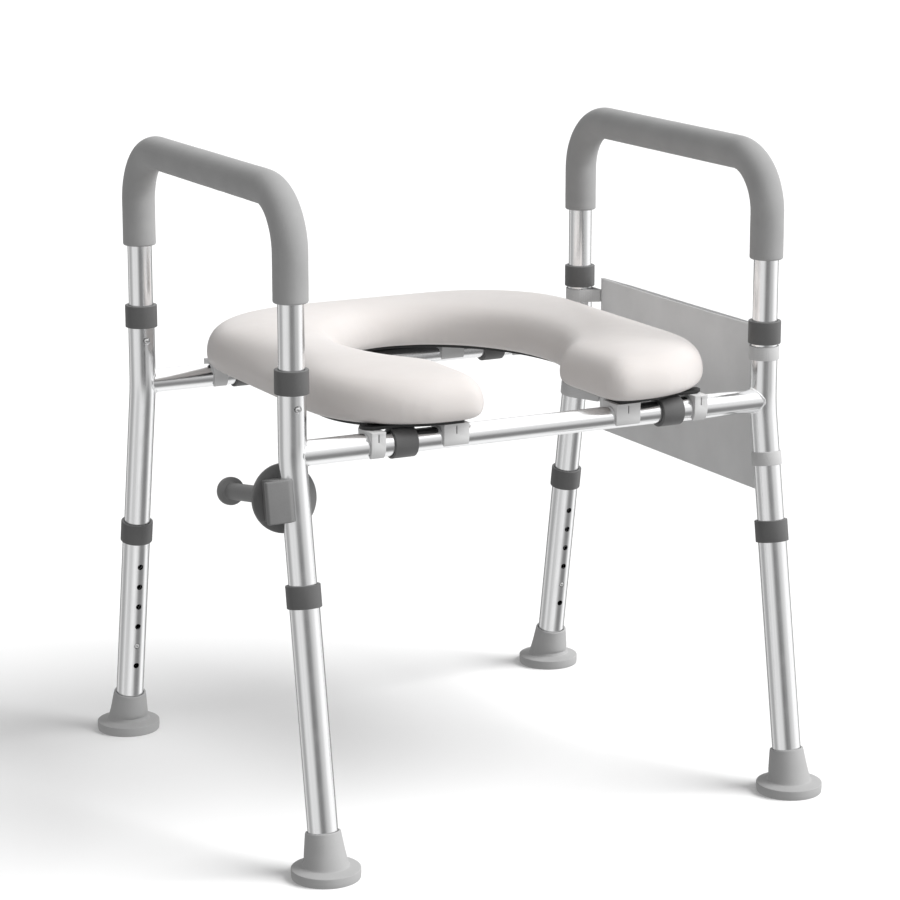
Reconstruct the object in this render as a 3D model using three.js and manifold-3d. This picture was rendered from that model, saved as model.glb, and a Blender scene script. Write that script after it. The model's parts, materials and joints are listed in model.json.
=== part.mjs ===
// Raised toilet seat: a padded U-shaped seat clipped onto two telescopic crossbars between two leg frames,
// with removable foam-gripped handles, telescopic legs on rubber feet, a paper holder and a magazine bag.
// Millimetres, +Z up, +Y towards the cistern, +X to the user's left hand side when seated facing the front.
import * as THREE from 'three';
import { mergeVertices } from 'three/addons/utils/BufferGeometryUtils.js';
import Module from 'manifold-3d';

const wasm = await Module();
wasm.setup();

// ---------- driving dimensions ----------
const GAP = 0.3;                      // running gap between nested or touching pieces
const SIDES = 16;                     // facets round a tube

const POST_X = 282.5;                 // post axes, left and right of the middle
const POST_Y = 200.5;                 // post axes, in front of and behind the middle, above the bend
const BEND_Z = 424;                   // corner of the bend, just below the crossbars
const SPLAY = THREE.MathUtils.degToRad(9.5);
const BEND_RADIUS = 150;

const HANDLE_R = 13.5;                // handle tube, inside the upright
const UPRIGHT_R = 14.7;
const LEG_R = 15.7;                   // leg extension, outside the upright
const STUB_R = 13.3;                  // crossbar stub welded to the upright
const BAR_R = 12.1;                   // crossbar centre tube, inside the stubs
const WALL = { handle: 1.3, upright: 0.9, leg: 0.7, stub: 0.9, bar: 1.2 };

const BAR_Z = 428;
const STUB_END_X = 149;               // inner end of each stub
const BAR_END_X = 236;                // end of the centre tube, hidden in the stub

const HANDLE_TOP_Z = 692.5;
const HANDLE_BEND_RADIUS = 60;
const HANDLE_BOTTOM_Z = 452;
const FOAM_R = 18.5;
const FOAM_BOTTOM_Z = 583.7;

const UPPER_COLLAR = { r: 17.8, bottom: 491.2, top: 516 };
const BAR_COLLAR = { r: 16.2, inner: 147, outer: 173 };
const LEG_COLLAR = { r: 18.1, length: 24, frontZ: 285.7, rearZ: 249 };
const LIP = 3;                        // collar's lip over the end of its tube

const HOLE_R = 3.5;
const HOLE_COUNT = 6;
const HOLE_PITCH = 25;
const FIRST_HOLE = 217.6;             // along the leg, below the corner of the bend
const LOCKED_HOLE = 4;                // the snap button stands in the fifth hole
const BUTTON_R = 3.2;
const LEFT_BUTTON_Z = 477;            // handle buttons, left frame
const RIGHT_BUTTON_Z = 462;           // handle buttons, right frame, below the bag's straps
const BAR_BUTTON_X = 179;

const FOOT = { top: 47, discR: 36, discH: 12.5, neckR: 18.6, baseR: 23.2, socketZ: 17.5 };

const CUSHION = { bottom: 448.4, top: 500, edge: 19 };
const BOARD = { bottom: 444.6, top: 448, inset: 24, earX: 203, earFrom: 190, earTo: 212, earChamfer: 10 };
const SEAT = {
  halfWidth: 236.5, front: -240, back: 243, frontCorner: 118, backCornerX: 144, backCornerY: 137,
  holeX: 115, holeY: 144, holeCentre: -1.3, gapHalf: 65, lobeCorner: 48,
};

const CLIP_TOP_Z = 444.2;
const WIDE_CLIP = { x: 103, width: 29, tube: BAR_R, wall: 2.7, bottom: 419.5 };
const NARROW_CLIP = { x: 193, width: 16, tube: STUB_R, wall: 2.4, bottom: 413.5 };

const BAG = { x: 297.6, thickness: 10, front: -186, rear: 178, bottom: 318, top: 500, wall: 1.5 };
const STRAP = { wall: 1.4, height: 15, upperZ: 481, lowerZ: 365 };

const HOLDER = { along: 41, height: 43, left: -46, right: -9, plate: 7, bodyLeft: -28, wrap: 14, depth: 20 };
const SPINDLE = { x: -3, flangeR: 36, flangeT: 4, hubR: 19, hubEnd: 44, rodR: 9, length: 165, capR: 15 };

// ---------- materials ----------
function material(color, roughness, metalness) {
  return () => new THREE.MeshStandardMaterial({ color, roughness, metalness });
}

const aluminium = material(0xd9dadc, 0.25, 1);
const steel = material(0xc4c6c8, 0.3, 1);
const greyFoam = material(0x8f9091, 0.9, 0);
const collarPlastic = material(0x5c5d5f, 0.5, 0);
const footRubber = material(0x909192, 0.8, 0);
const clipPlastic = material(0xb9b9b9, 0.5, 0);
const cushionSkin = material(0xd6d0cb, 0.45, 0);
const boardPlastic = material(0x1c1c1d, 0.6, 0);
const holderPlastic = material(0x6a6b6c, 0.5, 0);
const bagFabric = material(0xa6a6a6, 0.9, 0);
const strapWebbing = material(0xbcbcbc, 0.85, 0);

// ---------- solids ----------
function meshData(geometry) {
  const bare = geometry.clone();
  bare.deleteAttribute('normal');
  bare.deleteAttribute('uv');
  const merged = mergeVertices(bare, 1e-4);
  return { vertices: merged.attributes.position.array, triangles: merged.index.array };
}

function signedVolume({ vertices, triangles }) {
  const a = new THREE.Vector3();
  const b = new THREE.Vector3();
  const c = new THREE.Vector3();
  let sum = 0;
  for (let i = 0; i < triangles.length; i += 3) {
    a.fromArray(vertices, 3 * triangles[i]);
    b.fromArray(vertices, 3 * triangles[i + 1]);
    c.fromArray(vertices, 3 * triangles[i + 2]);
    sum += a.dot(b.cross(c));
  }
  return sum;
}

function toSolid(geometry) {
  const data = meshData(geometry);
  const triVerts = Uint32Array.from(data.triangles);
  if (signedVolume(data) < 0) {
    triVerts.reverse();
  }
  const vertProperties = Float32Array.from(data.vertices);
  return new wasm.Manifold(new wasm.Mesh({ numProp: 3, vertProperties, triVerts }));
}

function toGeometry(manifold) {
  const mesh = manifold.getMesh();
  const geometry = new THREE.BufferGeometry();
  geometry.setAttribute('position', new THREE.BufferAttribute(Float32Array.from(mesh.vertProperties), 3));
  geometry.setIndex(new THREE.BufferAttribute(Uint32Array.from(mesh.triVerts), 1));
  geometry.computeVertexNormals();
  return geometry;
}

function cut(base, ...tools) {
  return tools.reduce((solid, tool) => solid.subtract(tool), base);
}

function join(base, ...others) {
  return others.reduce((solid, other) => solid.add(other), base);
}

// A ring or plug turned about the Z axis from a closed profile of [radius, z] points.
function turned(profile, sides = SIDES) {
  const points = [...profile, profile[0]].map(([r, z]) => new THREE.Vector2(r, z));
  return new THREE.LatheGeometry(points, sides).rotateX(Math.PI / 2);
}

function ring(inner, outer, bottom, top, chamfer = 0) {
  return turned([
    [inner, bottom], [outer - chamfer, bottom], [outer, bottom + chamfer],
    [outer, top - chamfer], [outer - chamfer, top], [inner, top],
  ]);
}

function rod(radius, bottom, top, sides = 12) {
  return new THREE.CylinderGeometry(radius, radius, top - bottom, sides)
    .rotateX(Math.PI / 2)
    .translate(0, 0, (bottom + top) / 2);
}

function block(x0, x1, y0, y1, z0, z1) {
  return new THREE.BoxGeometry(x1 - x0, y1 - y0, z1 - z0)
    .translate((x0 + x1) / 2, (y0 + y1) / 2, (z0 + z1) / 2);
}

// A curve whose equal steps are the given stations, so that straights take one step and bends several.
class StationCurve extends THREE.Curve {
  constructor(stations) {
    super();
    this.stations = stations;
  }

  station(u) {
    return this.stations[Math.round(u * (this.stations.length - 1))];
  }

  getPointAt(u) {
    return this.station(u).point.clone();
  }

  getTangentAt(u) {
    return this.station(u).tangent.clone();
  }
}

// Stations of a bent centre line in the plane x = 0: corner points [y, z], each inner one rounded.
function bentLine(corners, radius, bendSteps) {
  const points = corners.map(([y, z]) => new THREE.Vector3(0, y, z));
  const stations = [];
  const first = points[1].clone().sub(points[0]).normalize();
  stations.push({ point: points[0], tangent: first });
  for (let i = 1; i < points.length - 1; i += 1) {
    const before = points[i].clone().sub(points[i - 1]).normalize();
    const after = points[i + 1].clone().sub(points[i]).normalize();
    const angle = before.angleTo(after);
    const setback = radius * Math.tan(angle / 2);
    const axis = before.clone().cross(after).normalize();
    const start = points[i].clone().addScaledVector(before, -setback);
    const toCentre = axis.clone().cross(before);
    const centre = start.clone().addScaledVector(toCentre, radius);
    for (let step = 0; step <= bendSteps; step += 1) {
      const turn = (angle * step) / bendSteps;
      const arm = start.clone().sub(centre).applyAxisAngle(axis, turn);
      stations.push({ point: centre.clone().add(arm), tangent: before.clone().applyAxisAngle(axis, turn) });
    }
  }
  const last = points.length - 1;
  const end = points[last].clone().sub(points[last - 1]).normalize();
  stations.push({ point: points[last], tangent: end });
  return new StationCurve(stations);
}

function bentTube(line, outer, inner) {
  const section = new THREE.Shape().absarc(0, 0, outer, 0, 2 * Math.PI, false);
  if (inner > 0) {
    section.holes.push(new THREE.Path().absarc(0, 0, inner, 0, 2 * Math.PI, true));
  }
  return new THREE.ExtrudeGeometry(section, {
    extrudePath: line,
    steps: line.stations.length - 1,
    curveSegments: SIDES / 2,
    bevelEnabled: false,
  });
}

// ---------- nodes ----------
const object = new THREE.Group();

function node(name, geometry, paint, parent = object) {
  const mesh = new THREE.Mesh(geometry, paint());
  mesh.name = name;
  parent.add(mesh);
  return mesh;
}

// A corner of the frame, built as if it stood at the front with its leg splaying towards -Y.
// inward is the sign of X, in the corner's own axes, that points at the middle of the object.
function corner(sideName, endName) {
  const side = sideName === 'left' ? -1 : 1;
  const end = endName === 'front' ? -1 : 1;
  const group = new THREE.Group();
  group.position.set(side * POST_X, end * POST_Y, 0);
  group.rotation.z = end < 0 ? 0 : Math.PI;
  object.add(group);
  const leg = new THREE.Group();
  leg.position.z = BEND_Z;
  leg.rotation.x = -SPLAY;
  group.add(leg);
  return { name: `${sideName}_${endName}`, sideName, side, end, group, leg, inward: side * end };
}

const lockedHole = FIRST_HOLE + LOCKED_HOLE * HOLE_PITCH;
const uprightEnd = lockedHole + 14;
const uprightTop = UPPER_COLLAR.top - LIP - GAP;

// A radial drill, pointing along +Y from the tube's axis.
function drill(z) {
  return toSolid(rod(HOLE_R, 0, 30, 10).rotateX(-Math.PI / 2).translate(0, 0, z));
}

function drillFacing(z, facing) {
  return facing > 0 ? drill(z) : drill(z).rotate([0, 0, 180]);
}

// World direction (+Y or -Y) that the handle's snap buttons face on each side.
function handleButton(c) {
  const facing = c.side < 0 ? -1 : 1;
  return { z: c.side < 0 ? LEFT_BUTTON_Z : RIGHT_BUTTON_Z, facing, local: -facing * c.end };
}

// The upright's centre line, made longer by extra at both ends.
function uprightLine(extra) {
  const length = uprightEnd + extra;
  const lower = [-length * Math.sin(SPLAY), BEND_Z - length * Math.cos(SPLAY)];
  return bentLine([[0, uprightTop + extra], [0, BEND_Z], lower], BEND_RADIUS, 2);
}

function upright(c) {
  const post = toSolid(bentTube(uprightLine(0), UPRIGHT_R, 0));
  const bore = toSolid(bentTube(uprightLine(1), UPRIGHT_R - WALL.upright, 0));
  const stubLength = POST_X - STUB_END_X;
  const along = (c.inward * Math.PI) / 2;
  const stub = toSolid(rod(STUB_R, 0, stubLength, SIDES).rotateY(along).translate(0, 0, BAR_Z));
  const stubBore = toSolid(
    rod(STUB_R - WALL.stub, UPRIGHT_R, stubLength + 1, SIDES).rotateY(along).translate(0, 0, BAR_Z),
  );
  const legHole = drill(0).translate([0, 0, -lockedHole]).rotate([-THREE.MathUtils.radToDeg(SPLAY), 0, 0]);
  const button = handleButton(c);
  const barHole = toSolid(rod(HOLE_R, -30, 0, 10).translate(c.inward * (POST_X - BAR_BUTTON_X), 0, BAR_Z));
  const welded = cut(join(post, stub), stubBore, barHole);
  const shell = cut(welded, bore, legHole.translate([0, 0, BEND_Z]), drillFacing(button.z, button.local));
  node(`${c.name}_upright`, toGeometry(shell), aluminium, c.group);
}

function upperCollar(c) {
  const { r, bottom, top } = UPPER_COLLAR;
  const body = turned([
    [UPRIGHT_R + GAP, bottom], [r - 0.8, bottom], [r, bottom + 0.8], [r, top - 0.8], [r - 0.8, top],
    [HANDLE_R + GAP, top], [HANDLE_R + GAP, top - LIP], [UPRIGHT_R + GAP, top - LIP],
  ]);
  node(`${c.name}_upper_collar`, body, collarPlastic, c.group);
}

function barCollar(c) {
  const { r, inner, outer } = BAR_COLLAR;
  const lip = STUB_END_X - GAP;
  const body = turned([
    [BAR_R + GAP, inner], [r - 0.8, inner], [r, inner + 0.8], [r, outer - 0.8], [r - 0.8, outer],
    [STUB_R + GAP, outer], [STUB_R + GAP, lip], [BAR_R + GAP, lip],
  ]);
  const mesh = node(`${c.name}_crossbar_collar`, body, collarPlastic);
  mesh.rotation.y = (c.side * Math.PI) / 2;
  mesh.position.set(0, c.end * POST_Y, BAR_Z);
}

function legCollarTop(c) {
  const z = c.end < 0 ? LEG_COLLAR.frontZ : LEG_COLLAR.rearZ;
  return -(BEND_Z - z) / Math.cos(SPLAY) + LEG_COLLAR.length / 2;
}

const socketBottom = -(BEND_Z - FOOT.socketZ) / Math.cos(SPLAY);

function legExtension(c) {
  const top = legCollarTop(c) - LIP - GAP;
  const tube = toSolid(ring(LEG_R - WALL.leg, LEG_R, socketBottom + GAP, top));
  const holes = [];
  for (let i = 0; i < HOLE_COUNT; i += 1) {
    holes.push(drill(-FIRST_HOLE - i * HOLE_PITCH));
  }
  node(`${c.name}_leg_extension`, toGeometry(cut(tube, ...holes)), aluminium, c.leg);
}

function legCollar(c) {
  const top = legCollarTop(c);
  const bottom = top - LEG_COLLAR.length;
  const r = LEG_COLLAR.r;
  const body = turned([
    [LEG_R + GAP, bottom], [r - 0.8, bottom], [r, bottom + 0.8], [r, top - 0.8], [r - 0.8, top],
    [UPRIGHT_R + GAP, top], [UPRIGHT_R + GAP, top - LIP], [LEG_R + GAP, top - LIP],
  ]);
  node(`${c.name}_leg_collar`, body, collarPlastic, c.leg);
}

function rubberFoot(c) {
  const neckTop = -(BEND_Z - FOOT.top) / Math.cos(SPLAY);
  const neckBottom = -(BEND_Z - FOOT.discH / 2) / Math.cos(SPLAY);
  const neck = toSolid(turned([
    [0, neckBottom], [FOOT.baseR + 0.8, neckBottom], [FOOT.neckR, neckTop - 0.8],
    [FOOT.neckR - 0.8, neckTop], [0, neckTop],
  ]));
  const tilted = neck.rotate([-THREE.MathUtils.radToDeg(SPLAY), 0, 0]).translate([0, 0, BEND_Z]);
  const disc = toSolid(turned([
    [0, 0], [FOOT.discR - 1.5, 0], [FOOT.discR, 1.5], [FOOT.discR, 9.5],
    [FOOT.discR - 2.5, 12.5], [FOOT.baseR, FOOT.discH], [0, FOOT.discH],
  ], 20)).translate([0, -(BEND_Z - FOOT.discH / 2) * Math.tan(SPLAY), 0]);
  const socket = toSolid(rod(LEG_R + GAP, socketBottom, neckTop + 1, SIDES))
    .rotate([-THREE.MathUtils.radToDeg(SPLAY), 0, 0])
    .translate([0, 0, BEND_Z]);
  node(`${c.name}_rubber_foot`, toGeometry(cut(join(tilted, disc), socket)), footRubber, c.group);
}

// A snap button on the Z axis: a flange inside the inner tube, a stem and a domed tip.
function snapButton(flange, tip) {
  return turned([
    [0, flange - 1.3], [4.6, flange - 1.3], [4.6, flange], [BUTTON_R, flange],
    [BUTTON_R, tip - 1], [BUTTON_R * 0.65, tip - 0.25], [0, tip],
  ], 8);
}

function facingY(geometry, sign) {
  return geometry.rotateX((-sign * Math.PI) / 2);
}

function legButton(c) {
  const mesh = node(`${c.name}_leg_button`, facingY(snapButton(12.2, UPRIGHT_R + 0.15), 1), steel, c.leg);
  mesh.position.z = -lockedHole;
}

function handleSnapButton(c) {
  const button = handleButton(c);
  const body = facingY(snapButton(10.6, UPRIGHT_R + 2.4), button.facing);
  const mesh = node(`${c.name}_handle_button`, body, steel);
  mesh.position.set(c.side * POST_X, c.end * POST_Y, button.z);
}

function crossbarButton(c) {
  const body = snapButton(9.2, BAR_R + 0.15).rotateX(Math.PI);
  const mesh = node(`${c.name}_crossbar_button`, body, steel);
  mesh.position.set(c.side * BAR_BUTTON_X, c.end * POST_Y, BAR_Z);
}

function crossbarTube(endName) {
  const end = endName === 'front' ? -1 : 1;
  const tube = toSolid(ring(BAR_R - WALL.bar, BAR_R, -BAR_END_X, BAR_END_X)).rotate([0, 90, 0]);
  const holes = [-1, 1].map((side) => toSolid(rod(HOLE_R, -20, 0, 10)).translate([side * BAR_BUTTON_X, 0, 0]));
  const mesh = node(`${endName}_crossbar_tube`, toGeometry(cut(tube, ...holes)), aluminium);
  mesh.position.set(0, end * POST_Y, BAR_Z);
}

function handleLine(bottom) {
  const corners = [[-POST_Y, bottom], [-POST_Y, HANDLE_TOP_Z], [POST_Y, HANDLE_TOP_Z], [POST_Y, bottom]];
  return bentLine(corners, HANDLE_BEND_RADIUS, 4);
}

function handleTube(sideName) {
  const side = sideName === 'left' ? -1 : 1;
  const tube = toSolid(bentTube(handleLine(HANDLE_BOTTOM_Z), HANDLE_R, HANDLE_R - WALL.handle));
  const z = side < 0 ? LEFT_BUTTON_Z : RIGHT_BUTTON_Z;
  const holes = [-POST_Y, POST_Y].map((y) => drillFacing(z, side).translate([0, y, 0]));
  const mesh = node(`${sideName}_handle_tube`, toGeometry(cut(tube, ...holes)), aluminium);
  mesh.position.x = side * POST_X;
}

function foamGrip(sideName) {
  const side = sideName === 'left' ? -1 : 1;
  const foam = bentTube(handleLine(FOAM_BOTTOM_Z), FOAM_R, HANDLE_R + GAP);
  const mesh = node(`${sideName}_foam_grip`, toGeometry(toSolid(foam)), greyFoam);
  mesh.position.x = side * POST_X;
}

// The seat's plan, an open-fronted U, drawn inside its full outline by inset.
function seatPlan(inset) {
  const s = SEAT;
  const w = s.halfWidth - inset;
  const front = s.front + inset;
  const back = s.back - inset;
  const frontR = s.frontCorner - inset;
  const backX = s.backCornerX - inset;
  const backY = s.backCornerY - inset;
  const gap = s.gapHalf + inset;
  const lobe = s.lobeCorner - inset;
  const holeX = s.holeX + inset;
  const holeY = s.holeY + inset;
  const meet = Math.asin(gap / holeX);
  const plan = new THREE.Shape();
  plan.absarc(gap + lobe, front + lobe, lobe, Math.PI, 1.5 * Math.PI, false);
  plan.absarc(w - frontR, front + frontR, frontR, 1.5 * Math.PI, 2 * Math.PI, false);
  plan.absellipse(w - backX, back - backY, backX, backY, 0, 0.5 * Math.PI, false);
  plan.absellipse(-w + backX, back - backY, backX, backY, 0.5 * Math.PI, Math.PI, false);
  plan.absarc(-w + frontR, front + frontR, frontR, Math.PI, 1.5 * Math.PI, false);
  plan.absarc(-gap - lobe, front + lobe, lobe, 1.5 * Math.PI, 2 * Math.PI, false);
  plan.absellipse(0, s.holeCentre, holeX, holeY, 1.5 * Math.PI - meet, -0.5 * Math.PI + meet, true);
  plan.closePath();
  return plan;
}

function cushion() {
  const { bottom, top, edge } = CUSHION;
  const body = new THREE.ExtrudeGeometry(seatPlan(edge), {
    depth: top - bottom - 2 * edge,
    bevelThickness: edge,
    bevelSize: edge,
    bevelSegments: 3,
    curveSegments: 5,
  });
  const mesh = node('seat_cushion', toGeometry(toSolid(body)), cushionSkin);
  mesh.position.z = bottom + edge;
}

// The board under the cushion, with an ear reaching out over each narrow clip.
function baseBoard() {
  const { bottom, top, inset, earX, earFrom, earTo, earChamfer } = BOARD;
  const flat = { depth: top - bottom, bevelEnabled: false, curveSegments: 5 };
  const body = toSolid(new THREE.ExtrudeGeometry(seatPlan(inset), flat));
  const ears = [];
  for (const end of [-1, 1]) {
    for (const side of [-1, 1]) {
      const ear = new THREE.Shape([
        new THREE.Vector2(side * 120, end * earFrom),
        new THREE.Vector2(side * earX, end * earFrom),
        new THREE.Vector2(side * earX, end * (earTo - earChamfer)),
        new THREE.Vector2(side * (earX - earChamfer), end * earTo),
        new THREE.Vector2(side * 120, end * earTo),
      ]);
      ears.push(toSolid(new THREE.ExtrudeGeometry(ear, flat)));
    }
  }
  const mesh = node('seat_base_board', toGeometry(join(body, ...ears)), boardPlastic);
  mesh.position.z = bottom;
}

// An inverted-U saddle that drops over a crossbar, with a slightly wider top under the board.
function clip(name, shape, x, end) {
  const inner = shape.tube + 2 * GAP;
  const outer = inner + shape.wall;
  const top = CLIP_TOP_Z - BAR_Z;
  const flange = outer + 1.5;
  const bottom = shape.bottom - BAR_Z;
  const profile = new THREE.Shape();
  profile.moveTo(-outer, bottom);
  profile.lineTo(-inner, bottom);
  profile.lineTo(-inner, 0);
  profile.absarc(0, 0, inner, Math.PI, 0, true);
  profile.lineTo(inner, bottom);
  profile.lineTo(outer, bottom);
  profile.lineTo(outer, top - 2.5);
  profile.lineTo(flange, top - 1.2);
  profile.lineTo(flange, top);
  profile.lineTo(-flange, top);
  profile.lineTo(-flange, top - 1.2);
  profile.lineTo(-outer, top - 2.5);
  profile.closePath();
  const body = new THREE.ExtrudeGeometry(profile, { depth: shape.width, bevelEnabled: false, curveSegments: 5 })
    .translate(0, 0, -shape.width / 2)
    .rotateX(Math.PI / 2)
    .rotateZ(Math.PI / 2);
  const mesh = node(name, body, clipPlastic);
  mesh.position.set(x, end * POST_Y, BAR_Z);
}

function clips() {
  for (const [endName, end] of [['front', -1], ['rear', 1]]) {
    for (const [sideName, side] of [['left', -1], ['right', 1]]) {
      clip(`${sideName}_${endName}_wide_clip`, WIDE_CLIP, side * WIDE_CLIP.x, end);
      clip(`${sideName}_${endName}_narrow_clip`, NARROW_CLIP, side * NARROW_CLIP.x, end);
    }
  }
}

// The holder's clamp grips the front left upright; its frame is the leg's, x across and y behind the leg.
function holderClamp(c) {
  const { along, height, left, right, plate, bodyLeft, wrap, depth } = HOLDER;
  const outline = new THREE.Shape();
  outline.moveTo(left + 2, -depth);
  outline.lineTo(right - 7, -depth);
  outline.lineTo(right, -depth + 5);
  outline.lineTo(right, depth - 5);
  outline.lineTo(wrap, depth - 5);
  outline.lineTo(wrap, depth);
  outline.lineTo(bodyLeft, depth);
  outline.lineTo(bodyLeft, -depth + plate);
  outline.lineTo(left, -depth + plate);
  outline.lineTo(left, -depth + 2);
  outline.closePath();
  const body = new THREE.ExtrudeGeometry(outline, { depth: height, bevelEnabled: false })
    .translate(0, 0, -along - height / 2);
  const grip = toSolid(rod(UPRIGHT_R + GAP, -along - height, -along + height, SIDES));
  const pin = toSolid(rod(4, 0, 9, 12).rotateX(-Math.PI / 2).translate(SPINDLE.x, depth - 1, -along));
  node('paper_holder_clamp', toGeometry(join(cut(toSolid(body), grip), pin)), holderPlastic, c.leg);
}

function holderSpindle(c) {
  const { x, flangeR, flangeT, hubR, hubEnd, rodR, length, capR } = SPINDLE;
  const start = HOLDER.depth + GAP;
  const body = turned([
    [4 + GAP, start], [flangeR - 1, start], [flangeR, start + 1], [flangeR, start + flangeT - 1],
    [flangeR - 1, start + flangeT], [hubR + 2, start + flangeT], [hubR, hubEnd], [rodR, hubEnd + 4],
    [rodR, length - 10], [capR, length - 8], [capR, length - 2], [capR - 2, length], [0, length],
    [0, start + 9], [4 + GAP, start + 9],
  ]).rotateX(-Math.PI / 2);
  const mesh = node('paper_holder_spindle', body, holderPlastic, c.leg);
  mesh.position.set(x, 0, -HOLDER.along);
}

function magazineBag() {
  const { x, thickness, front, rear, bottom, top, wall } = BAG;
  const outside = toSolid(block(x, x + thickness, front, rear, bottom, top));
  const pocket = toSolid(
    block(x + wall, x + thickness - wall, front + wall, rear - wall, bottom + wall, top + 1),
  );
  node('magazine_bag', toGeometry(cut(outside, pocket)), bagFabric);
}

// A webbing loop round an upright, drawn to a point at the bag's edge.
function strap(name, end, z, tailEnd) {
  const inner = UPRIGHT_R + GAP;
  const outer = inner + STRAP.wall;
  const drop = Math.max(0, BEND_Z - z);
  const y = POST_Y + drop * Math.tan(SPLAY);
  const lean = (drop > 0 ? Math.sin(SPLAY) * STRAP.height : 0) / 2;
  const tail = y - tailEnd - GAP - lean;
  const turn = 2 * Math.atan(tail / outer);
  const innerTurn = 2 * Math.atan((tail - 2 * STRAP.wall) / inner);
  const section = new THREE.Shape();
  section.moveTo(outer, 0);
  section.lineTo(outer, tail);
  section.lineTo(outer * Math.cos(turn), outer * Math.sin(turn));
  section.absarc(0, 0, outer, turn, 2 * Math.PI, false);
  const opening = new THREE.Path();
  opening.moveTo(inner, 0);
  opening.lineTo(inner, tail - 2 * STRAP.wall);
  opening.lineTo(inner * Math.cos(innerTurn), inner * Math.sin(innerTurn));
  opening.absarc(0, 0, inner, innerTurn, 2 * Math.PI, false);
  section.holes.push(opening);
  const body = new THREE.ExtrudeGeometry(section, { depth: STRAP.height, bevelEnabled: false, curveSegments: 8 })
    .translate(0, 0, -STRAP.height / 2);
  if (end > 0) {
    body.rotateX(Math.PI);
  }
  const mesh = node(name, toGeometry(toSolid(body)), strapWebbing);
  mesh.rotation.x = drop > 0 ? end * SPLAY : 0;
  mesh.position.set(POST_X, end * y, z);
}

function straps() {
  for (const [levelName, z] of [['upper', STRAP.upperZ], ['lower', STRAP.lowerZ]]) {
    strap(`front_${levelName}_bag_strap`, -1, z, -BAG.front);
    strap(`rear_${levelName}_bag_strap`, 1, z, BAG.rear);
  }
}

// ---------- assembly ----------
const corners = [];
for (const sideName of ['left', 'right']) {
  for (const endName of ['front', 'rear']) {
    corners.push(corner(sideName, endName));
  }
  handleTube(sideName);
  foamGrip(sideName);
}

for (const c of corners) {
  upright(c);
  upperCollar(c);
  barCollar(c);
  legExtension(c);
  legCollar(c);
  rubberFoot(c);
  legButton(c);
  handleSnapButton(c);
  crossbarButton(c);
}

crossbarTube('front');
crossbarTube('rear');
cushion();
baseBoard();
clips();
holderClamp(corners[0]);
holderSpindle(corners[0]);
magazineBag();
straps();

export default object;
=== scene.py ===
"""Raised toilet seat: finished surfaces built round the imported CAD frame.

Metres, +Z up, +Y towards the cistern, +X towards the side that carries the magazine bag.
"""

import json
import math

import bmesh
import bpy
import numpy as np
from mathutils import Matrix, Vector
from mathutils import noise as field

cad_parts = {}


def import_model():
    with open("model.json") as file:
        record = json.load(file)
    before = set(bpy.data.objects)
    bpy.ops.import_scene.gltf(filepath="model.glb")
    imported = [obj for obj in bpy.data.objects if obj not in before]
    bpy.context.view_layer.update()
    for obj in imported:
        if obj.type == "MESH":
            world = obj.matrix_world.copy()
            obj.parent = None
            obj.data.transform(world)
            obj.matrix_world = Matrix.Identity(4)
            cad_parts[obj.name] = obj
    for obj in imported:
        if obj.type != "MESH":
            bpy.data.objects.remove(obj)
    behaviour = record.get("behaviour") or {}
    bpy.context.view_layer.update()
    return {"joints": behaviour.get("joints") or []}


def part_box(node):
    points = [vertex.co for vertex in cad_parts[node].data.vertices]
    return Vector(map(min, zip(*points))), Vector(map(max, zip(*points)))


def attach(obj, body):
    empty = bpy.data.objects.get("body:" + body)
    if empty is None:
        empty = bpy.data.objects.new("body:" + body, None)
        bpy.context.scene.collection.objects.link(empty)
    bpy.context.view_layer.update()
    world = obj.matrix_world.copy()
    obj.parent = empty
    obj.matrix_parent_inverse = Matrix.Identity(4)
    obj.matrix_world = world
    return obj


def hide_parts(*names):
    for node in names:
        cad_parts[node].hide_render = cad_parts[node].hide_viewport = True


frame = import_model()

MM = 0.001


def in_mm(**lengths):
    return {name: length * MM for name, length in lengths.items()}


SIDES = {"left": -1, "right": 1}
ENDS = {"front": -1, "rear": 1}
LEVELS = ("upper", "lower")
X_AXIS = Vector((1, 0, 0))
Y_AXIS = Vector((0, 1, 0))
Z_AXIS = Vector((0, 0, 1))

# ---------- driving dimensions that the frame's boxes don't give ----------
GAP = 0.3 * MM
STUB_R = 13.3 * MM
BAR_R = 12.1 * MM
UPRIGHT_R = 14.7 * MM
LEG_R = 15.7 * MM
WALL = in_mm(handle=1.3, upright=0.9, leg=0.7, stub=0.9, bar=1.2)
BEND_RADIUS = 150 * MM
HANDLE_BEND_RADIUS = 60 * MM
COLLAR_LIP = 3 * MM
HOLE_R = 3.4 * MM
BUTTON_HOLE_R = 4.3 * MM
HOLE_PITCH = 25 * MM
HOLES_ABOVE_BUTTON = 4
HOLES_BELOW_BUTTON = 1
BUTTON_R = 3.1 * MM
BUTTON_FLANGE = in_mm(r=4.4, thick=1.2)
DOME = 2.2 * MM

FOOT = in_mm(
    wall=10.4, shoulder=12.8, top=47, neck=18.6, base=23.2, socket=17.5, tread=1, groove_from=7,
    groove_pitch=5, groove_wide=3.6,
)
EAR = in_mm(root=120, x=203, near=190, far=206, chamfer=8)
SEAT = in_mm(
    front_corner=118, back_x=144, back_y=137, hole_x=115, hole_y=144, hole_centre=-1.3, gap=68, lobe=30,
)
CUSHION = in_mm(edge_in=8, edge_up=9, side=16, crown=42, shrink=2, below_top=1.5, voxel=4.5)
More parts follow.
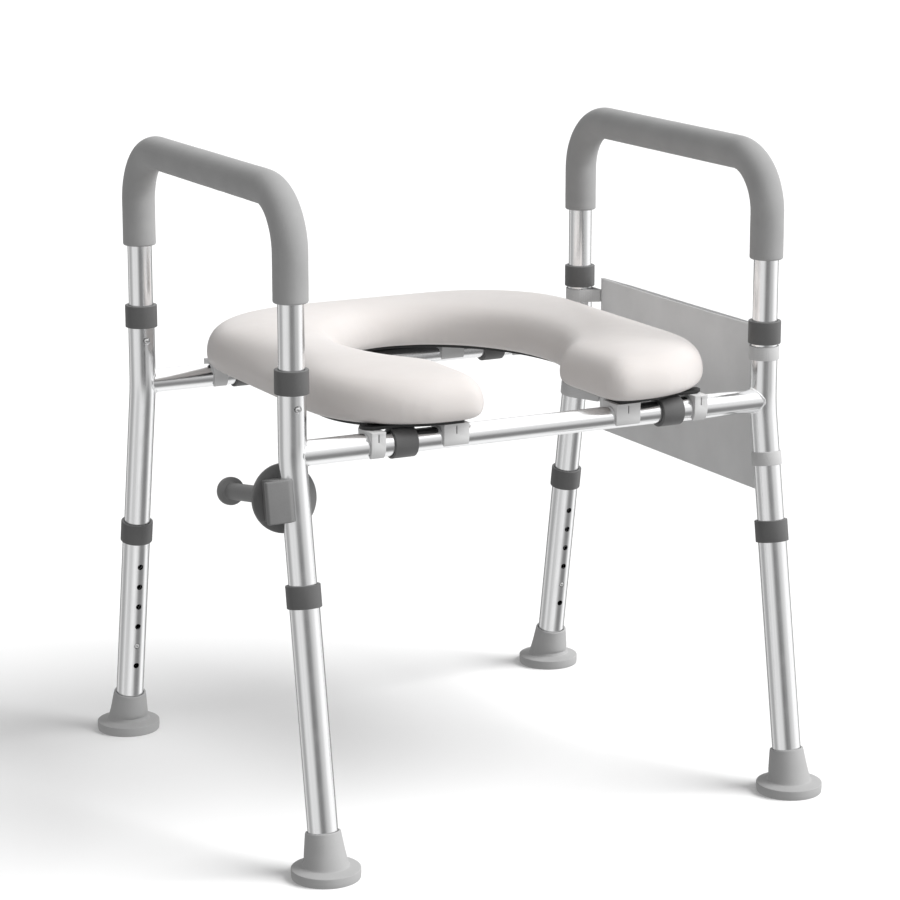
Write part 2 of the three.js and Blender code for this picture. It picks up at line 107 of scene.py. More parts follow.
# the holder and its spindle are drawn in the leg's own axes, from the corner of its bend
HOLDER = in_mm(along=41, height=43, left=-40, right=-9, plate=7, body=-28, wrap=14, depth=20)
STRAP = in_mm(wide=15, thick=1.4)
BAG = in_mm(
    cloth=1.1, seam_in=1.6, seam_gap=1.3, above_box=2.4, hem=0.35, stitch=0.25, sag=1.4,
)
HEM_FROM = 0.915
STITCH_FROM = 0.965
SPINDLE = in_mm(
    x=-3, pin_r=4, flange_r=36, flange=4, hub_r=19, hub_end=44, rod_r=9, length=165, cap_r=15,
)


# ---------- places read from the frame ----------
def centre(node):
    lowest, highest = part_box(node)
    return (lowest + highest) / 2


def half(node):
    lowest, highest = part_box(node)
    return (highest - lowest) / 2


def low(node):
    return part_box(node)[0]


def high(node):
    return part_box(node)[1]


def joint_axis(name):
    found = next(j for j in frame["joints"] if j["name"] == name)
    return Vector(found["axis"]).normalized()


POST_X = centre("right_foam_grip").x
FOAM_R = half("right_foam_grip").x
POST_Y = high("right_foam_grip").y - FOAM_R
HANDLE_R = half("right_handle_tube").x
HANDLE_TOP = high("right_handle_tube").z - HANDLE_R


class Corner:
    """One of the four posts: its names, the corner of its bend and the direction down its leg."""

    def __init__(self, side_name, end_name):
        self.side_name, self.end_name = side_name, end_name
        self.side, self.end = SIDES[side_name], ENDS[end_name]
        self.name = f"{side_name}_{end_name}"
        self.down = joint_axis(f"{self.name}_leg_height")
        middle = centre(f"{self.name}_leg_extension")
        self.bend = middle - self.down * ((abs(middle.y) - POST_Y) / abs(self.down.y))
        self.splay = math.asin(abs(self.down.y))

    def node(self, kind):
        return f"{self.name}_{kind}"

    def below(self, distance):
        """The place at a distance down the leg from the bend."""
        return self.bend + self.down * distance

    def at_height(self, z):
        return self.below((self.bend.z - z) / math.cos(self.splay))

    def above(self, z):
        """The place on the upright part of the post at a height."""
        return Vector((self.bend.x, self.bend.y, z))

    def button_depth(self):
        return (centre(self.node("leg_button")) - self.bend).dot(self.down)

    def holes_face(self):
        return Vector((0, -self.end * math.cos(self.splay), -math.sin(self.splay)))

    def handle_button_faces(self):
        return joint_axis(self.node("handle_button_press")) * -1


CORNERS = [Corner(side_name, end_name) for side_name in SIDES for end_name in ENDS]
LEFT_FRONT = CORNERS[0]
SPLAY = LEFT_FRONT.splay


def tilted_span(node):
    """Centre, length and radius of a round node that lies along a leg."""
    size = half(node) * 2
    radius = size.x / 2
    return centre(node), (size.z - size.x * math.sin(SPLAY)) / math.cos(SPLAY), radius


# ---------- geometry helpers ----------
def rounded(corners, steps=5, closed=True):
    """An outline whose (x, y, radius) corners are turned into arcs."""
    points = []
    count = len(corners)
    for i, (x, y, radius) in enumerate(corners):
        here = Vector((x, y))
        ends = not closed and i in (0, count - 1)
        if radius <= 0 or ends:
            points.append((x, y))
            continue
        before = Vector(corners[i - 1][:2]) - here
        after = Vector(corners[(i + 1) % count][:2]) - here
        room = 0.49 * min(before.length, after.length)
        before.normalize()
        after.normalize()
        half_angle = before.angle(after) / 2
        back = min(radius / math.tan(half_angle), room)
        radius = back * math.tan(half_angle)
        middle = here + (before + after).normalized() * (radius / math.sin(half_angle))
        start = here + before * back - middle
        turn = math.pi - 2 * half_angle
        side = 1 if start.x * (here - middle).y - start.y * (here - middle).x > 0 else -1
        for k in range(steps + 1):
            angle = side * turn * k / steps
            points.append((
                middle.x + start.x * math.cos(angle) - start.y * math.sin(angle),
                middle.y + start.x * math.sin(angle) + start.y * math.cos(angle),
            ))
    return points


class Line:
    """A centre line of straights joined by arcs, walked by distance from its start."""

    def __init__(self, points, radius=0.0, side=X_AXIS, step=2 * MM):
        points = [Vector(p) for p in points]
        self.side = side
        places = []
        tangents = []

        def straight(a, b):
            direction = (b - a).normalized()
            count = max(1, round((b - a).length / step))
            for k in range(count + 1):
                places.append(a.lerp(b, k / count))
                tangents.append(direction)

        start = points[0]
        for before, corner, after in zip(points, points[1:], points[2:]):
            come = (corner - before).normalized()
            go = (after - corner).normalized()
            angle = come.angle(go)
            setback = radius * math.tan(angle / 2)
            arc_start = corner - come * setback
            axis = come.cross(go).normalized()
            middle = arc_start + axis.cross(come) * radius
            straight(start, arc_start)
            count = max(2, round(radius * angle / step))
            for k in range(1, count):
                turn = Matrix.Rotation(angle * k / count, 3, axis)
                places.append(middle + turn @ (arc_start - middle))
                tangents.append(turn @ come)
            start = corner + go * setback
        straight(start, points[-1])
        self.places = np.array(places)
        self.tangents = np.array(tangents)
        self.along = np.concatenate([[0], np.cumsum(np.linalg.norm(np.diff(self.places, axis=0), axis=1))])
        self.length = float(self.along[-1])

    def at(self, s):
        place = Vector([np.interp(s, self.along, self.places[:, k]) for k in range(3)])
        tangent = Vector([np.interp(s, self.along, self.tangents[:, k]) for k in range(3)]).normalized()
        over = s - min(max(s, 0.0), self.length)
        return place + tangent * over, tangent

    def around(self, points):
        """For each point: its outward direction and distance from the line, and its distance along it."""
        out = np.zeros((len(points), 3))
        along = np.zeros(len(points))
        for start in range(0, len(points), 2000):
            part = points[start:start + 2000]
            near = np.linalg.norm(part[:, None] - self.places[None], axis=2).argmin(1)
            offset = part - self.places[near]
            ahead = (offset * self.tangents[near]).sum(1)
            out[start:start + 2000] = offset - ahead[:, None] * self.tangents[near]
            along[start:start + 2000] = self.along[near] + ahead
        distance = np.linalg.norm(out, axis=1)
        return out / np.maximum(distance, 1e-9)[:, None], distance, along


def new_piece(name, vertices, faces, material, sharp=32):
    """A mesh object with merged points, outward faces and smooth shading up to the sharp angle."""
    mesh = bpy.data.meshes.new(name)
    mesh.from_pydata([tuple(v) for v in vertices], [], faces)
    work = bmesh.new()
    work.from_mesh(mesh)
    bmesh.ops.remove_doubles(work, verts=work.verts, dist=1e-7)
    bmesh.ops.dissolve_degenerate(work, dist=1e-7, edges=work.edges)
    bmesh.ops.recalc_face_normals(work, faces=work.faces)
    work.to_mesh(mesh)
    work.free()
    piece = bpy.data.objects.new(name, mesh)
    bpy.context.scene.collection.objects.link(piece)
    if material is not None:
        mesh.materials.append(material)
    shade(piece, sharp)
    return piece


def shade(piece, sharp=32):
    piece.data.shade_smooth()
    piece.data.set_sharp_from_angle(angle=math.radians(sharp))


def loop_faces(rings, sides, closed):
    """Quads between rings of points; closed joins the last ring to the first."""
    faces = []
    for i in range(rings if closed else rings - 1):
        j = (i + 1) % rings
        for k in range(sides):
            n = (k + 1) % sides
            faces.append((i * sides + k, i * sides + n, j * sides + n, j * sides + k))
    return faces


def capped_faces(rings, sides):
    """Quads between rings of points, with a face over the first ring and one over the last."""
    last = (rings - 1) * sides
    return loop_faces(rings, sides, False) + [tuple(range(sides)), tuple(range(last, last + sides))]


def stepped(profile, step):
    """A closed profile of (along, radius) points with more points on its long stretches."""
    points = []
    for i, (s, r) in enumerate(profile):
        next_s, next_r = profile[(i + 1) % len(profile)]
        count = max(1, math.ceil(abs(next_s - s) / step))
        for k in range(count):
            points.append((s + (next_s - s) * k / count, r + (next_r - r) * k / count))
    return points


def swept(name, line, profile, material=None, sides=64, step=None, sharp=32):
    """A round solid: a closed profile of (along, radius) points carried round a line."""
    profile = stepped(profile, step) if step else profile
    vertices = []
    for s, radius in profile:
        place, tangent = line.at(s)
        up = tangent.cross(line.side).normalized()
        for k in range(sides):
            angle = 2 * math.pi * k / sides
            vertices.append(place + radius * (math.cos(angle) * line.side + math.sin(angle) * up))
    return new_piece(name, vertices, loop_faces(len(profile), sides, True), material, sharp)


def rod(line, start, end, radius, sides=64, step=None, edge=0.0):
    profile = rounded([(start, 0, 0), (start, radius, edge), (end, radius, edge), (end, 0, 0)], 3)
    return swept("tool", line, profile, None, sides, step)


def settle(piece):
    """Replaces the piece's mesh by what its modifiers make of it."""
    graph = bpy.context.evaluated_depsgraph_get()
    made = bpy.data.meshes.new_from_object(piece.evaluated_get(graph))
    piece.modifiers.clear()
    made.name = piece.name
    piece.data = made


def combine(base, operation, *tools):
    """Joins the tools to a solid, or cuts them from it."""
    for tool in tools:
        modifier = base.modifiers.new("combine", "BOOLEAN")
        modifier.operation = operation
        modifier.solver = "EXACT"
        modifier.object = tool
        settle(base)
        bpy.data.objects.remove(tool)
    work = bmesh.new()
    work.from_mesh(base.data)
    bmesh.ops.remove_doubles(work, verts=work.verts, dist=1e-6)
    bmesh.ops.dissolve_degenerate(work, dist=1e-6, edges=work.edges)
    work.to_mesh(base.data)
    work.free()
    return base


def cut(base, *tools):
    return combine(base, "DIFFERENCE", *tools)


def bevelled(piece, width, segments=3, angle=35):
    modifier = piece.modifiers.new("bevel", "BEVEL")
    modifier.width = width
    modifier.segments = segments
    modifier.limit_method = "ANGLE"
    modifier.angle_limit = math.radians(angle)
    settle(piece)
    shade(piece)
    return piece


def prism(name, outline, low_end, high_end, place, material=None):
    """An outline of (x, y) points made a solid between two heights; place carries it to the frame's axes."""
    count = len(outline)
    vertices = [place @ Vector((x, y, low_end)) for x, y in outline]
    vertices += [place @ Vector((x, y, high_end)) for x, y in outline]
    faces = [tuple(range(count)), tuple(range(count, 2 * count))]
    faces += [(k, (k + 1) % count, count + (k + 1) % count, count + k) for k in range(count)]
    return new_piece(name, vertices, faces, material)


def polish(piece, lines, near=0.2 * MM):
    """True round normals on tube walls, and each point's place in the straightened tube as its grain."""
    mesh = piece.data
    points = np.array([v.co for v in mesh.vertices], float)
    corner_vertex = np.zeros(len(mesh.loops), int)
    mesh.loops.foreach_get("vertex_index", corner_vertex)
    face_normal = np.array([p.normal for p in mesh.polygons], float)
    corner_face = np.repeat(np.arange(len(mesh.polygons)), [p.loop_total for p in mesh.polygons])
    facing = face_normal[corner_face]
    normals = np.zeros((len(mesh.loops), 3))
    best = np.full(len(mesh.loops), math.cos(math.radians(24)))
    grain = np.zeros((len(points), 3), np.float32)
    closest = np.full(len(points), 1e9)
    for line, radii in lines:
        outward, distance, along = line.around(points)
        miss = np.min([np.abs(distance - r) for r in radii], axis=0)
        match = (facing * outward[corner_vertex]).sum(1)
        better = (miss[corner_vertex] < near) & (np.abs(match) > best)
        normals[better] = (outward[corner_vertex] * np.sign(match)[:, None])[better]
        best[better] = np.abs(match)[better]
        side = np.array(line.side)
        across = (outward * side).sum(1)
        upward = np.sqrt(np.maximum(0, 1 - across ** 2)) * np.sign(
            (outward * np.cross(line.tangents[len(line.tangents) // 2], side)).sum(1)
        )
        closer = miss < closest
        flat = np.stack([across * distance, upward * distance, along], axis=1)
        grain[closer] = flat[closer]
        closest[closer] = miss[closer]
    mesh.shade_smooth()
    mesh.set_sharp_from_angle(angle=math.radians(32))
    mesh.normals_split_custom_set([tuple(n) for n in normals])
    mesh.attributes.new("grain", "FLOAT_VECTOR", "POINT").data.foreach_set("vector", grain.ravel())
    return piece


def stands_for(piece, node, body):
    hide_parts(node)
    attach(piece, body)
    return piece


# ---------- materials ----------
def add(tree, kind, settings=None, **inputs):
    """Adds a shader node; an input is a value, or the socket that feeds it."""
    made = tree.nodes.new("ShaderNode" + kind)
    for key, value in (settings or {}).items():
        setattr(made, key, value)
    for key, value in inputs.items():
        numbered = key[0] == "i" and key[1:].isdigit()
        socket = made.inputs[int(key[1:]) if numbered else key.replace("_", " ")]
        if isinstance(value, bpy.types.NodeSocket):
            tree.links.new(value, socket)
        else:
            socket.default_value = value
    return made


def maths(tree, operation, *values, kind="Math", output=0):
    inputs = {f"i{k}": value for k, value in enumerate(values)}
    return add(tree, kind, {"operation": operation}, **inputs).outputs[output]


def dot(tree, vector, along):
    return maths(tree, "DOT_PRODUCT", vector, tuple(along), kind="VectorMath", output="Value")


def feed(tree, bsdf, colour, rough, normal):
    for value, name in ((colour, "Base Color"), (rough, "Roughness"), (normal, "Normal")):
        tree.links.new(value, bsdf.inputs[name])


def new_material(name, **shader):
    material = bpy.data.materials.new(name)
    material.use_nodes = True
    tree = material.node_tree
    bsdf = tree.nodes["Principled BSDF"]
    for key, value in shader.items():
        bsdf.inputs[key.replace("_", " ")].default_value = value
    return material, tree, bsdf


def object_place(tree):
    return add(tree, "TexCoord").outputs["Object"]


def noise(tree, place, scale, detail=3.0, roughness=0.55):
    return add(tree, "TexNoise", Vector=place, Scale=scale, Detail=detail, Roughness=roughness).outputs["Fac"]


def spread(tree, value, low_value, high_value):
    """Maps a noise value, which stays near its middle, to a range."""
    made = add(tree, "MapRange", Value=value, From_Min=0.3, From_Max=0.7, To_Min=low_value, To_Max=high_value)
    return made.outputs["Result"]


def shades(tree, value, dark, light, from_value=0.3, to_value=0.7):
    made = add(tree, "ValToRGB", Fac=value)
    ramp = made.color_ramp
    ramp.elements[0].position = from_value
    ramp.elements[0].color = (*dark, 1)
    ramp.elements[1].position = to_value
    ramp.elements[1].color = (*light, 1)
    return made.outputs["Color"]


def relief(tree, height, distance, strength=1.0, under=None):
    inputs = {"Height": height, "Distance": distance, "Strength": strength}
    if under is not None:
        inputs["Normal"] = under
    return add(tree, "Bump", **inputs).outputs["Normal"]


def grey(level, tint=(1.0, 1.0, 1.0)):
    return tuple(level * t for t in tint)


def aluminium():
    """Bright anodised tube: fine drawing lines along it, and faint handling marks."""
    material, tree, bsdf = new_material("bright_anodised_aluminium", Metallic=1.0)
    grain = add(tree, "Attribute", {"attribute_name": "grain"}).outputs["Vector"]
    drawn = add(tree, "Mapping", Vector=grain, Scale=(1.0, 1.0, 0.012)).outputs["Vector"]
    streaks = noise(tree, drawn, 1500, 4.0, 0.7)
    broad = noise(tree, drawn, 260, 2.0)
    marks = noise(tree, grain, 38, 3.0)
    colour = shades(tree, broad, grey(0.84, (1, 1.003, 1.01)), grey(0.92, (1, 1.002, 1.006)))
    rough = maths(tree, "ADD", spread(tree, streaks, 0.13, 0.2), spread(tree, marks, 0.0, 0.07))
    feed(tree, bsdf, colour, rough, relief(tree, streaks, 0.012 * MM, 0.5))
    return material


def steel():
    material, tree, bsdf = new_material("satin_steel", Metallic=1.0)
    place = object_place(tree)
    fine = noise(tree, place, 2600, 3.0)
    colour = shades(tree, fine, grey(0.52), grey(0.66))
    feed(tree, bsdf, colour, spread(tree, fine, 0.2, 0.36), relief(tree, fine, 0.02 * MM, 0.4))
    return material


def foam():
    """Closed-cell foam with a matte skin: fine pores, and slow changes of tone."""
    material, tree, bsdf = new_material(
        "closed_cell_foam", Specular_IOR_Level=0.3, Sheen_Weight=0.12, Sheen_Roughness=0.5,
    )
    place = object_place(tree)
    cells = add(tree, "TexVoronoi", Vector=place, Scale=1250.0).outputs["Distance"]
    fine = noise(tree, place, 1900, 3.0, 0.6)
    slow = noise(tree, place, 22, 3.0)
    tone = maths(tree, "ADD", spread(tree, slow, 0.0, 0.75), spread(tree, fine, 0.0, 0.25))
    colour = shades(tree, tone, grey(0.33), grey(0.37), 0.1, 0.9)
    pores = relief(tree, cells, 0.16 * MM, 0.45)
    feed(tree, bsdf, colour, spread(tree, fine, 0.72, 0.86), relief(tree, fine, 0.12 * MM, 0.4, pores))
    return material


def moulded(name, dark, light, rough=(0.42, 0.55), texture=900, depth=0.05, specular=0.5):
    """Injection-moulded plastic with a spark-eroded texture and a little wear."""
    material, tree, bsdf = new_material(name, Specular_IOR_Level=specular)
    place = object_place(tree)
    fine = noise(tree, place, texture, 4.0, 0.6)
    slow = noise(tree, place, 30, 3.0)
    tone = maths(tree, "ADD", spread(tree, slow, 0.0, 0.6), spread(tree, fine, 0.0, 0.4))
    colour = shades(tree, tone, dark, light, 0.1, 0.9)
    feed(tree, bsdf, colour, spread(tree, slow, *rough), relief(tree, fine, depth * MM, 0.6))
    return material


def cushion_skin():
    """Soft moulded skin with a very fine leather grain."""
    material, tree, bsdf = new_material(
        "cushion_skin", Specular_IOR_Level=0.42, Sheen_Weight=0.08, Subsurface_Weight=0.06,
        Subsurface_Radius=(0.006, 0.005, 0.004), Subsurface_Scale=0.5,
    )
    place = object_place(tree)
    pebbles = add(tree, "TexVoronoi", {"feature": "SMOOTH_F1"}, Vector=place, Scale=620.0)
    pebbles = pebbles.outputs["Distance"]
    fine = noise(tree, place, 1500, 3.0)
    slow = noise(tree, place, 9, 3.0)
    colour = shades(tree, slow, (0.655, 0.62, 0.6), (0.69, 0.657, 0.64))
    rough = spread(tree, noise(tree, place, 60, 3.0), 0.36, 0.46)
    grain = relief(tree, pebbles, 0.07 * MM, 0.35)
    feed(tree, bsdf, colour, rough, relief(tree, fine, 0.03 * MM, 0.35, grain))
    return material


def woven(name, dark, light, across, along, pitch):
    """Plain weave: two sets of threads, given by the directions that they are counted in."""
    material, tree, bsdf = new_material(
        name, Specular_IOR_Level=0.25, Sheen_Weight=0.25, Sheen_Roughness=0.45,
    )
    place = object_place(tree)
    wobble = add(tree, "TexNoise", Vector=place, Scale=120.0, Detail=2.0).outputs["Color"]
    shifted = maths(tree, "MULTIPLY_ADD", wobble, (0.4 * MM,) * 3, place, kind="VectorMath")

    def threads(direction):
        turned = maths(tree, "MULTIPLY_ADD", dot(tree, shifted, direction), math.pi / pitch, 0.0)
        return maths(tree, "SINE", turned)

    over = maths(tree, "MULTIPLY", threads(across), threads(along))
    height = maths(tree, "ABSOLUTE", over)
    signed = add(tree, "MapRange", Value=over, From_Min=-1.0, From_Max=1.0, To_Min=0.3, To_Max=0.7)
    slow = noise(tree, place, 16, 3.0)
    fuzz = noise(tree, place, 2400, 2.0)
    mixed = maths(tree, "MULTIPLY_ADD", spread(tree, slow, 0.0, 1.0), 0.45, signed.outputs["Result"])
    colour = shades(tree, mixed, dark, light, 0.35, 1.05)
    knots = relief(tree, height, 0.14 * MM, 0.7)
    feed(tree, bsdf, colour, spread(tree, fuzz, 0.78, 0.92), relief(tree, fuzz, 0.05 * MM, 0.5, knots))
    return material


MATERIALS = {
    "tube": aluminium(),
    "button": steel(),
    "foam": foam(),
    "collar": moulded("collar_plastic", grey(0.1), grey(0.12), (0.4, 0.5)),
    "foot": moulded("foot_rubber", grey(0.38), grey(0.42), (0.62, 0.76), 1100, 0.08, 0.35),
    "clip": moulded("clip_plastic", grey(0.61), grey(0.66), (0.38, 0.5)),
    "board": moulded("board_plastic", grey(0.012), grey(0.02), (0.4, 0.55), 500, 0.12),
    "holder": moulded("holder_plastic", grey(0.16), grey(0.19), (0.42, 0.55)),
    "cushion": cushion_skin(),
    "bag": woven("bag_cloth", grey(0.7), grey(0.82), Y_AXIS, Z_AXIS, 0.55 * MM),
    "strap": woven("strap_webbing", grey(0.5), grey(0.62), (0.7, 0.7, 0), Z_AXIS, 0.9 * MM),
}


# ---------- frame tubes ----------
def weld_bead(bend, inward, bar_z, post_y, radius=1.3 * MM, sides=72):
    """The bead where a crossbar stub meets its upright."""
    ring = []
    for k in range(sides):
        angle = 2 * math.pi * k / sides
        y = STUB_R * math.cos(angle)
        x = math.sqrt(UPRIGHT_R ** 2 - y ** 2)
        ring.append(Vector((bend.x + inward * x, post_y + y, bar_z + STUB_R * math.sin(angle))))
    vertices = []
    around = 10
    for k, place in enumerate(ring):
        tangent = (ring[(k + 1) % sides] - ring[k - 1]).normalized()
        outward = Vector((0, place.y - post_y, place.z - bar_z)).normalized()
        across = tangent.cross(outward).normalized()
        outward = across.cross(tangent)
        for n in range(around):
            turn = 2 * math.pi * n / around
            ripple = radius * (1 + 0.1 * math.sin(18 * 2 * math.pi * k / sides))
            vertices.append(place + ripple * (math.cos(turn) * outward + math.sin(turn) * across))
    return new_piece("tool", vertices, loop_faces(sides, around, True), None)


def drill(place, direction, reach=30 * MM, radius=HOLE_R):
    side = X_AXIS if abs(direction.x) < 0.9 else Y_AXIS
    line = Line([place, place + direction * reach], side=side)
    return rod(line, 0, reach, radius, 28)


def upright(corner):
    node = corner.node("upright")
    bend = corner.bend
    lower = (bend.z - low(node).z - UPRIGHT_R * math.sin(SPLAY)) / math.cos(SPLAY)
    line = Line([corner.above(high(node).z), bend, corner.below(lower)], BEND_RADIUS)
    bar_z = centre(f"{corner.end_name}_crossbar_tube").z
    inner = high(node).x if corner.side < 0 else low(node).x
    axis = Line([(bend.x, bend.y, bar_z), (inner, bend.y, bar_z)], side=Y_AXIS)
    piece = rod(line, 0, line.length, UPRIGHT_R, 64, 12 * MM, 0.25 * MM)
    piece.name = corner.node("upright_tube")
    combine(piece, "UNION", rod(axis, 0, axis.length, STUB_R, 64, 20 * MM, 0.25 * MM))
    combine(piece, "UNION", weld_bead(bend, -corner.side, bar_z, bend.y))
    bore = UPRIGHT_R - WALL["upright"]
    cut(piece, rod(line, -2 * MM, line.length + 2 * MM, bore, 64, 12 * MM))
    stub_bore = STUB_R - WALL["stub"]
    stub_start = UPRIGHT_R - WALL["upright"] / 2
    cut(piece, rod(axis, stub_start, axis.length + 2 * MM, stub_bore, 64, 20 * MM))
    for k in range(HOLES_ABOVE_BUTTON + 1):
        place = corner.below(corner.button_depth() - k * HOLE_PITCH)
        cut(piece, drill(place, corner.holes_face()))
    place = corner.above(centre(corner.node("handle_button")).z)
    cut(piece, drill(place, corner.handle_button_faces(), radius=BUTTON_HOLE_R))
    bar_button = centre(corner.node("crossbar_button"))
    cut(piece, drill(Vector((bar_button.x, bend.y, bar_z)), -Z_AXIS))
    piece.data.materials.append(MATERIALS["tube"])
    polish(piece, [(line, (UPRIGHT_R, bore)), (axis, (STUB_R, stub_bore))])
    stands_for(piece, node, f"{corner.side_name}_side")


def tube_profile(start, end, outer, inner, edge=0.25 * MM):
    return rounded([(start, outer, edge), (end, outer, edge), (end, inner, edge), (start, inner, edge)], 3)


def leg_extension(corner):
    node = corner.node("leg_extension")
    middle, length, radius = tilted_span(node)
    line = Line([middle - corner.down * (length / 2), middle + corner.down * (length / 2)])
    profile = tube_profile(0, line.length, radius, radius - WALL["leg"])
    piece = swept(corner.node("leg_tube"), line, profile, MATERIALS["tube"], 64, 12 * MM)
    for k in range(-HOLES_ABOVE_BUTTON, HOLES_BELOW_BUTTON + 1):
        place = corner.below(corner.button_depth() + k * HOLE_PITCH)
        cut(piece, drill(place, corner.holes_face()))
    polish(piece, [(line, (radius, radius - WALL["leg"]))])
    stands_for(piece, node, corner.node("leg"))


def handle_line(side, bottom):
    """The inverted U of a handle, from one end up and over to the other, down to a height."""
    corners = [(-POST_Y, bottom), (-POST_Y, HANDLE_TOP), (POST_Y, HANDLE_TOP), (POST_Y, bottom)]
    return Line([Vector((side * POST_X, y, z)) for y, z in corners], HANDLE_BEND_RADIUS)


def handle(side_name, side):
    node = f"{side_name}_handle_tube"
    line = handle_line(side, low(node).z)
    profile = tube_profile(0, line.length, HANDLE_R, HANDLE_R - WALL["handle"])
    piece = swept(f"{side_name}_handle_rail", line, profile, MATERIALS["tube"], 64, 8 * MM)
    for corner in CORNERS:
        if corner.side == side:
            place = Vector((side * POST_X, corner.end * POST_Y, centre(corner.node("handle_button")).z))
            cut(piece, drill(place, corner.handle_button_faces()))
    polish(piece, [(line, (HANDLE_R, HANDLE_R - WALL["handle"]))])
    stands_for(piece, node, f"{side_name}_handle")


def foam_grip(side_name, side):
    """The foam sleeve: soft ends, and a skin that is a little uneven."""
    node = f"{side_name}_foam_grip"
    line = handle_line(side, low(node).z)
    inner = HANDLE_R + GAP
    profile = rounded([
        (0, FOAM_R - 0.3 * MM, 2.6 * MM), (line.length, FOAM_R - 0.3 * MM, 2.6 * MM),
        (line.length, inner, 1 * MM), (0, inner, 1 * MM),
    ], 6)
    piece = swept(f"{side_name}_foam_sleeve", line, profile, MATERIALS["foam"], 56, 5 * MM, 70)
    ripple(piece, line, inner + 1 * MM, 0.14 * MM)
    stands_for(piece, node, f"{side_name}_handle")


def ripple(piece, line, above, amount):
    """Moves the points of a sleeve that lie outside a radius slightly in and out."""
    points = np.array([v.co for v in piece.data.vertices], float)
    outward, distance, _ = line.around(points)
    for vertex, direction, far in zip(piece.data.vertices, outward, distance):
        if far > above:
            vertex.co += Vector(direction) * (field.noise(vertex.co * 45) * amount)


def crossbar(end_name):
    node = f"{end_name}_crossbar_tube"
    reach = half(node).x
    place = centre(node)
    line = Line([(-reach, place.y, place.z), (reach, place.y, place.z)], side=Y_AXIS)
    profile = tube_profile(0, line.length, BAR_R, BAR_R - WALL["bar"])
    piece = swept(f"{end_name}_crossbar", line, profile, MATERIALS["tube"], 64, 20 * MM)
    for side_name in SIDES:
        button = centre(f"{side_name}_{end_name}_crossbar_button")
        cut(piece, drill(Vector((button.x, place.y, place.z)), -Z_AXIS))
    polish(piece, [(line, (BAR_R, BAR_R - WALL["bar"]))])
    stands_for(piece, node, "crossbars")


# ---------- collars, buttons and feet ----------
def collar_profile(length, outer, bore, lip_bore, lip):
    """A collar that slips over the larger tube and steps down to the smaller one at its far end."""
    return rounded([
        (0, bore, 0.4 * MM), (0, outer, 0.7 * MM), (length, outer, 0.7 * MM),
        (length, lip_bore, 0.4 * MM), (length - lip, lip_bore, 0), (length - lip, bore, 0),
    ], 4)


def collar(corner, kind, name, line, outer, bore, lip_bore, lip, body):
    profile = collar_profile(line.length, outer, bore + GAP, lip_bore + GAP, lip)
    piece = swept(corner.node(name), line, profile, MATERIALS["collar"])
    stands_for(piece, corner.node(kind), body)


def collars(corner):
    """The collars at the handle's foot, at the stub's end and at the top of the leg."""
    frame_side = f"{corner.side_name}_side"
    node = corner.node("upper_collar")
    place = centre(node)
    line = Line([(place.x, place.y, low(node).z), (place.x, place.y, high(node).z)])
    collar(corner, "upper_collar", "handle_collar", line, half(node).x,
           UPRIGHT_R, HANDLE_R, COLLAR_LIP, frame_side)
    node = corner.node("crossbar_collar")
    place = centre(node)
    reach = X_AXIS * (corner.side * half(node).x)
    line = Line([place + reach, place - reach], side=Y_AXIS)
    collar(corner, "crossbar_collar", "stub_collar", line, half(node).z,
           STUB_R, BAR_R, 2 * MM, frame_side)
    middle, length, radius = tilted_span(corner.node("leg_collar"))
    reach = corner.down * (length / 2)
    line = Line([middle + reach, middle - reach])
    collar(corner, "leg_collar", "height_collar", line, radius,
           LEG_R, UPRIGHT_R, COLLAR_LIP, corner.node("leg"))


def snap_button(corner, kind, name, place, direction, root, tip):
    """A domed button on a thin flange, pointing away from a tube's axis at place."""
    side = X_AXIS if abs(direction.x) < 0.9 else Y_AXIS
    line = Line([place, place + direction * tip], side=side)
    inner = root - BUTTON_FLANGE["thick"]
    profile = [(inner, 0), (inner, BUTTON_FLANGE["r"]), (root, BUTTON_FLANGE["r"]), (root, BUTTON_R)]
    profile += arc(tip - DOME, 0, DOME, BUTTON_R, 90, 0, 8)
    piece = swept(corner.node(name), line, profile, MATERIALS["button"], 28, None, 40)
    stands_for(piece, corner.node(kind), corner.node(kind))


def buttons(corner):
    place = corner.below(corner.button_depth())
    snap_button(corner, "leg_button", "leg_snap", place, corner.holes_face(), 12.6 * MM, LEG_R + 1 * MM)
    place = corner.above(centre(corner.node("handle_button")).z)
    facing = corner.handle_button_faces()
    snap_button(corner, "handle_button", "handle_snap", place, facing, 10.6 * MM, UPRIGHT_R + 2.2 * MM)
    bar_z = centre(f"{corner.end_name}_crossbar_tube").z
    place = Vector((centre(corner.node("crossbar_button")).x, corner.bend.y, bar_z))
    snap_button(corner, "crossbar_button", "bar_snap", place, -Z_AXIS, 9.2 * MM, BAR_R + 0.15 * MM)


